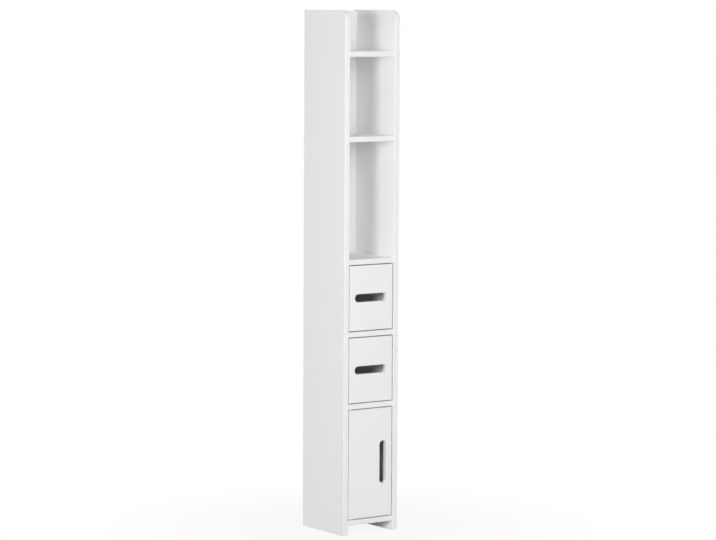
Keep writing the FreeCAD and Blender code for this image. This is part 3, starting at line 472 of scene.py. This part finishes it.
HARDWARE = {
    "zinc": metal_finish(
        "zinc", low=(0.52, 0.53, 0.54), high=(0.68, 0.69, 0.70), roughness=(0.32, 0.52),
        grain=1.6 * MILLIMETRE,
    ),
    "steel": metal_finish(
        "steel", low=(0.55, 0.55, 0.56), high=(0.67, 0.67, 0.68), roughness=(0.20, 0.38),
        grain=1.2 * MILLIMETRE, stretch=(6, 1, 1),
    ),
    "ferrite": plastic_finish(
        "ferrite", low=grey(0.035), high=grey(0.06), roughness=(0.55, 0.75), depth=0.05 * MILLIMETRE,
    ),
    "white_plastic": plastic_finish(
        "white_plastic", low=grey(0.78), high=grey(0.83), roughness=(0.42, 0.56), depth=0.03 * MILLIMETRE,
    ),
    "nylon": plastic_finish(
        "nylon", low=(0.72, 0.70, 0.63), high=(0.79, 0.77, 0.70), roughness=(0.35, 0.5),
        depth=0.02 * MILLIMETRE,
    ),
    "white_metal": plastic_finish(
        "white_metal", low=grey(0.80), high=grey(0.84), roughness=(0.30, 0.42), depth=0.05 * MILLIMETRE,
    ),
    "beech": beech_finish("beech", streak=(12, 1, 1), fleck=(6, 1, 1)),
}
# The drawers' dowels lie along Y, the others along X
DRAWER_BEECH = beech_finish("drawer_beech", streak=(1, 12, 1), fleck=(1, 6, 1))


# Which planes of a board carry its film

def sides_of(node, *sides):
    """Planes of a node's box, named by axis and end, such as -Y for its front."""
    low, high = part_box(node)
    return [(side[1], (low if side[0] == "-" else high)["XYZ".index(side[1])]) for side in sides]


def finish_board(node):
    """The finish of one board, by what it is."""
    low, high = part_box(node)
    if node.endswith("side_panel"):
        outline = (low.y, high.z, CORNER_RADIUS)
        return board_finish(node, chipboard, FILM, sides_of(node, "-X", "+X"), outline)
    # Drawer boxes take the grey film, which is painted shade for the dark seen through the drawer slots
    if node.endswith(("_left_side", "_right_side")):
        faces, top = sides_of(node, "-X", "+X", "+Z"), sides_of(node, "+Z")
        return board_finish(node, chipboard, FILM, faces, banded=top, film=painted_shade_drawer_film)
    if node.endswith("drawer_back"):
        faces, top = sides_of(node, "-Y", "+Y", "+Z"), sides_of(node, "+Z")
        return board_finish(node, chipboard, FILM, faces, banded=top, film=painted_shade_drawer_film)
    if node.endswith("drawer_base"):
        return board_finish(node, raw_hardboard, HARDBOARD_FILM, sides_of(node, "+Z"), film=painted_shade_drawer_film)
    if node == "back_panel":
        return board_finish(node, raw_hardboard, HARDBOARD_FILM, sides_of(node, "-Y", "+Z"))
    if node.endswith(("drawer_front", "door_panel")):
        return all_white_finish(node)
    faces, front = sides_of(node, "-Z", "+Z", "-Y"), sides_of(node, "-Y")
    return board_finish(node, chipboard, FILM, faces, banded=front)


# Fasteners with threads, flutes and recesses, each along Z from its head

def ring_of(mesh, along, radii):
    turn = 2 * math.pi / len(radii)
    return [mesh.verts.new((radius * math.cos(side * turn), radius * math.sin(side * turn), along))
            for side, radius in enumerate(radii)]


def wall(mesh, first, second):
    """Faces between two rings of as many corners."""
    for side in range(len(first)):
        mesh.faces.new((first[side - 1], first[side], second[side], second[side - 1]))


def stack(mesh, rings):
    """Rings of (place along, radii) with faces between them. Returns the first and the last ring."""
    loops = [ring_of(mesh, along, radii) for along, radii in rings]
    for first, second in zip(loops, loops[1:]):
        wall(mesh, first, second)
    return loops[0], loops[-1]


def plain(along, radius):
    return along, [radius] * RING_SIDES


def thread(start, end, root, crest, pitch, point=0.0):
    """Rings along a thread that rises over its first turn, and tapers to a tip over the point's length."""
    rows = round((end - start) / pitch * ROWS_PER_TURN)
    for row in range(1, rows):
        turns = (end - start) / pitch * row / rows
        left = end - start - turns * pitch
        taper = min(1.0, left / point) if point else 1.0
        rise = (crest - root) * min(1.0, turns, left / pitch)
        radii = []
        for side in range(RING_SIDES):
            from_crest = abs((turns - side / RING_SIDES) % 1.0 - 0.5)
            ridge = (RIDGE_FOOT_SHARE - from_crest) / (RIDGE_FOOT_SHARE - RIDGE_CREST_SHARE)
            radii.append(taper * (root + rise * min(1.0, max(0.0, ridge))))
        yield start + turns * pitch, radii


def cross(mesh, scale, along):
    """The outline of a cross recess."""
    arm, half_width = scale * RECESS_ARM, scale * RECESS_HALF_WIDTH
    corners = []
    for turn in range(RECESS_ARMS):
        for x, y in ((arm, -half_width), (arm, half_width), (half_width, half_width)):
            corner = Vector((x, y, along))
            corner.rotate(Euler((0, 0, turn * 2 * math.pi / RECESS_ARMS)))
            corners.append(mesh.verts.new(corner))
    return corners


def close_with_recess(mesh, rim):
    """Closes a head, whose rim lies at zero, with a tapered cross recess."""
    mouth = cross(mesh, 1.0, 0.0)
    bottom = cross(mesh, RECESS_TAPER_SHARE, RECESS_DEPTH)
    wall(mesh, mouth, bottom)
    mesh.faces.new(bottom)
    edges = []
    for loop in (rim, mouth):
        edges += [mesh.edges.get((loop[side - 1], loop[side])) for side in range(len(loop))]
    bmesh.ops.triangle_fill(mesh, use_beauty=True, edges=edges)


def close_with_point(mesh, ring, along):
    tip = mesh.verts.new((0, 0, along))
    for side in range(len(ring)):
        mesh.faces.new((ring[side - 1], ring[side], tip))


def screw(mesh, length, radius):
    """Countersunk wood screw with a thread up to its point."""
    neck_end = SCREW_HEAD_HEIGHT + SCREW_NECK
    slope = (radius - SCREW_CREST) / SCREW_HEAD_HEIGHT
    rim, end = stack(mesh, [
        plain(0.0, radius - 2 * slope * SCREW_RIM),
        plain(SCREW_RIM, radius - slope * SCREW_RIM),
        plain(SCREW_HEAD_HEIGHT, SCREW_ROOT),
        plain(neck_end, SCREW_ROOT),
        *thread(neck_end, length, SCREW_ROOT, SCREW_CREST, SCREW_PITCH, SCREW_POINT),
    ])
    close_with_recess(mesh, rim)
    close_with_point(mesh, end, length)


def cam_bolt(mesh, length, radius):
    """Bolt of a cam lock: a head with a neck behind it, a shank with a collar, and a coarse thread."""
    neck_end = BOLT_HEAD_LENGTH + BOLT_NECK_LENGTH
    thread_start = length - BOLT_THREAD_LENGTH
    collar_start = thread_start - BOLT_COLLAR_LENGTH
    rim, end = stack(mesh, [
        plain(0.0, radius - BOLT_ROUNDING),
        plain(BOLT_ROUNDING, radius),
        plain(BOLT_HEAD_LENGTH - BOLT_ROUNDING, radius),
        plain(BOLT_HEAD_LENGTH, BOLT_NECK),
        plain(neck_end, BOLT_NECK),
        plain(neck_end + BOLT_ROUNDING, BOLT_SHANK),
        plain(collar_start, BOLT_SHANK),
        plain(collar_start, BOLT_COLLAR),
        plain(thread_start, BOLT_COLLAR),
        plain(thread_start, BOLT_ROOT),
        *thread(thread_start, length, BOLT_ROOT, BOLT_CREST, BOLT_PITCH),
        plain(length, BOLT_ROOT - BOLT_ROUNDING),
    ])
    close_with_recess(mesh, rim)
    mesh.faces.new(end)


def dowel(mesh, length, radius):
    """Fluted dowel with bevelled ends."""
    fluted = [radius, radius, radius - FLUTE_DEPTH] * FLUTES
    tip = [radius - DOWEL_BEVEL_RISE] * len(fluted)
    for end in stack(mesh, [
        (0.0, tip),
        (DOWEL_BEVEL, fluted),
        (length - DOWEL_BEVEL, fluted),
        (length, tip),
    ]):
        mesh.faces.new(end)


def nail(mesh, length, radius):
    """Nail with a bevelled head, gripping grooves under it and a point."""
    rings = [
        plain(0.0, radius - NAIL_HEAD_HEIGHT / 2),
        plain(NAIL_HEAD_HEIGHT / 4, radius),
        plain(NAIL_HEAD_HEIGHT / 2, radius),
        plain(NAIL_HEAD_HEIGHT, radius - NAIL_HEAD_HEIGHT / 4),
        plain(NAIL_HEAD_HEIGHT, NAIL_SHANK),
    ]
    for groove in range(1, NAIL_GROOVES + 1):
        middle = NAIL_HEAD_HEIGHT + groove * NAIL_GROOVE_PITCH
        rings.append(plain(middle - NAIL_GROOVE, NAIL_SHANK))
        rings.append(plain(middle, NAIL_SHANK - NAIL_GROOVE))
        rings.append(plain(middle + NAIL_GROOVE, NAIL_SHANK))
    rings.append(plain(length - NAIL_POINT, NAIL_SHANK))
    head, end = stack(mesh, rings)
    mesh.faces.new(head)
    close_with_point(mesh, end, length)


# Where the fasteners go: at the separate solids of their nodes

def solids_in(node):
    """The corners of each separate solid of a node."""
    mesh = bmesh.new()
    mesh.from_mesh(frame["nodes"][node].data)
    bmesh.ops.remove_doubles(mesh, verts=mesh.verts, dist=WELD)
    seen = set()
    solids = []
    for first in mesh.verts:
        if first in seen:
            continue
        seen.add(first)
        reached = [first]
        for corner in reached:
            neighbours = [edge.other_vert(corner) for edge in corner.link_edges]
            fresh = [other for other in neighbours if other not in seen]
            seen.update(fresh)
            reached.extend(fresh)
        solids.append([corner.co.copy() for corner in reached])
    mesh.free()
    return solids


def head_of(corners):
    """A turned solid's wider end, the direction from there, its length and its largest radius."""
    low = Vector(min(corner[axis] for corner in corners) for axis in range(3))
    high = Vector(max(corner[axis] for corner in corners) for axis in range(3))
    middle, sizes = (low + high) / 2, high - low
    length = max(sizes)
    along = list(sizes).index(length)
    direction = Vector()
    direction[along] = 1.0

    def girth(end):
        near = [corner for corner in corners if abs(corner[along] - end) < END_SHARE * length]
        return max((corner - middle).cross(direction).length for corner in near)

    if girth(high[along]) > girth(low[along]) + WELD:
        direction.negate()
    return middle - direction * length / 2, direction, length, min(sizes) / 2


def model_fasteners(node, shape, finish):
    """A piece that stands for a node, with the shape at each of its solids."""
    whole = bmesh.new()
    for corners in solids_in(node):
        head, direction, length, radius = head_of(corners)
        count = len(whole.verts)
        shape(whole, length, radius)
        whole.verts.ensure_lookup_table()
        turn = direction.to_track_quat("Z", "Y").to_matrix().to_4x4()
        bmesh.ops.transform(whole, matrix=Matrix.Translation(head) @ turn, verts=whole.verts[count:])
    bmesh.ops.recalc_face_normals(whole, faces=whole.faces)
    mesh = bpy.data.meshes.new(node + "_modelled")
    whole.to_mesh(mesh)
    whole.free()
    mesh.shade_smooth()
    mesh.set_sharp_from_angle(angle=SHARP_ANGLE)
    mesh.materials.append(finish)
    piece = bpy.data.objects.new(node + "_modelled", mesh)
    bpy.context.scene.collection.objects.link(piece)
    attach(piece, frame["nodes"][node]["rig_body"])
    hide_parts(node)


# Shapes by the ending of a node's name
FASTENERS = {"screws": screw, "cam_bolts": cam_bolt, "dowels": dowel, "nails": nail}

for subpart in frame["record"]["subparts"]:
    node_name = subpart["node"]
    slot_name = subpart["material_slot"]
    node_finish = HARDWARE.get(slot_name) or finish_board(node_name)
    if node_name.endswith("drawer_dowels"):
        node_finish = DRAWER_BEECH
    frame["nodes"][node_name].material_slots[0].material = node_finish
    for kind, fastener in FASTENERS.items():
        if node_name.endswith(kind):
            model_fasteners(node_name, fastener, node_finish)


# Stage

def seen_white(tree):
    """1 for the rays that show the background: from the camera, or mirrored, or through glass."""
    path = tree.nodes.new("ShaderNodeLightPath")
    share = path.outputs["Is Camera Ray"]
    for ray in ("Is Glossy Ray", "Is Transmission Ray"):
        most = tree.nodes.new("ShaderNodeMath")
        most.operation = "MAXIMUM"
        tree.links.new(share, most.inputs[0])
        tree.links.new(path.outputs[ray], most.inputs[1])
        share = most.outputs["Value"]
    return share


def make_floor():
    """A floor that the camera sees as nearly white, with a soft shadow round the cabinet."""
    mesh = bpy.data.meshes.new("floor")
    half = FLOOR_SIZE / 2
    corners = [(-half, -half, 0), (half, -half, 0), (half, half, 0), (-half, half, 0)]
    mesh.from_pydata(corners, [], [(0, 1, 2, 3)])
    floor = bpy.data.objects.new("floor", mesh)
    bpy.context.scene.collection.objects.link(floor)
    material = bpy.data.materials.new("floor")
    material.use_nodes = True
    tree = material.node_tree
    tree.nodes.clear()
    lit = tree.nodes.new("ShaderNodeBsdfDiffuse")
    lit.inputs["Color"].default_value = FLOOR_COLOUR
    white = tree.nodes.new("ShaderNodeEmission")
    away = tree.nodes.new("ShaderNodeVectorMath")
    away.operation = "LENGTH"
    tree.links.new(tree.nodes.new("ShaderNodeTexCoord").outputs["Object"], away.inputs[0])
    fade = tree.nodes.new("ShaderNodeMapRange")
    fade.interpolation_type = "SMOOTHSTEP"
    tree.links.new(away.outputs["Value"], fade.inputs["Value"])
    fade.inputs["From Min"].default_value, fade.inputs["From Max"].default_value = FLOOR_FADE
    fade.inputs["To Min"].default_value = FLOOR_WHITE_SHARE
    share = tree.nodes.new("ShaderNodeMath")
    share.operation = "MULTIPLY"
    tree.links.new(seen_white(tree), share.inputs[0])
    tree.links.new(fade.outputs["Result"], share.inputs[1])
    blend = tree.nodes.new("ShaderNodeMixShader")
    tree.links.new(share.outputs["Value"], blend.inputs["Fac"])
    tree.links.new(lit.outputs["BSDF"], blend.inputs[1])
    tree.links.new(white.outputs["Emission"], blend.inputs[2])
    output = tree.nodes.new("ShaderNodeOutputMaterial")
    tree.links.new(blend.outputs["Shader"], output.inputs["Surface"])
    mesh.materials.append(material)


def make_world():
    """Even light from all round, which the camera sees as white."""
    world = bpy.data.worlds.new("studio")
    world.use_nodes = True
    tree = world.node_tree
    tree.nodes.clear()
    ambient = tree.nodes.new("ShaderNodeBackground")
    ambient.inputs["Color"].default_value = WHITE
    ambient.inputs["Strength"].default_value = AMBIENT_LEVEL
    white = tree.nodes.new("ShaderNodeBackground")
    white.inputs["Color"].default_value = WHITE
    blend = tree.nodes.new("ShaderNodeMixShader")
    tree.links.new(seen_white(tree), blend.inputs["Fac"])
    tree.links.new(ambient.outputs["Background"], blend.inputs[1])
    tree.links.new(white.outputs["Background"], blend.inputs[2])
    output = tree.nodes.new("ShaderNodeOutputWorld")
    tree.links.new(blend.outputs["Shader"], output.inputs["Surface"])
    bpy.context.scene.world = world


def make_soft_box(name, heading, height, distance, width, tallness, level):
    """An area lamp that faces the cabinet; its power gives the level at the cabinet's middle."""
    light = bpy.data.lights.new(name, "AREA")
    light.shape = "RECTANGLE"
    light.size = width
    light.size_y = tallness
    light.energy = level * math.pi ** 2 * distance ** 2
    lamp = bpy.data.objects.new(name, light)
    bpy.context.scene.collection.objects.link(lamp)
    turn, rise = math.radians(heading), math.radians(height)
    outward = Vector((math.sin(turn) * math.cos(rise), -math.cos(turn) * math.cos(rise), math.sin(rise)))
    lamp.location = LIGHT_AIM + outward * distance
    lamp.rotation_euler = outward.to_track_quat("Z", "Y").to_euler()


def make_camera():
    data = bpy.data.cameras.new("camera")
    data.sensor_fit = "HORIZONTAL"
    data.sensor_width = CAMERA_SENSOR
    data.lens = CAMERA_LENS
    camera = bpy.data.objects.new("camera", data)
    bpy.context.scene.collection.objects.link(camera)
    camera.location = CAMERA_PLACE
    tilt = math.radians(CAMERA_LEVEL + CAMERA_PITCH)
    upright = Euler((tilt, 0, math.radians(-CAMERA_HEADING))).to_quaternion()
    camera.rotation_euler = (upright @ Euler((0, 0, math.radians(CAMERA_ROLL))).to_quaternion()).to_euler()
    bpy.context.scene.camera = camera


make_floor()
make_world()
for box_name, box_values in SOFT_BOXES.items():
    make_soft_box(box_name, *box_values)
make_camera()
bpy.context.scene.view_settings.view_transform = "Standard"
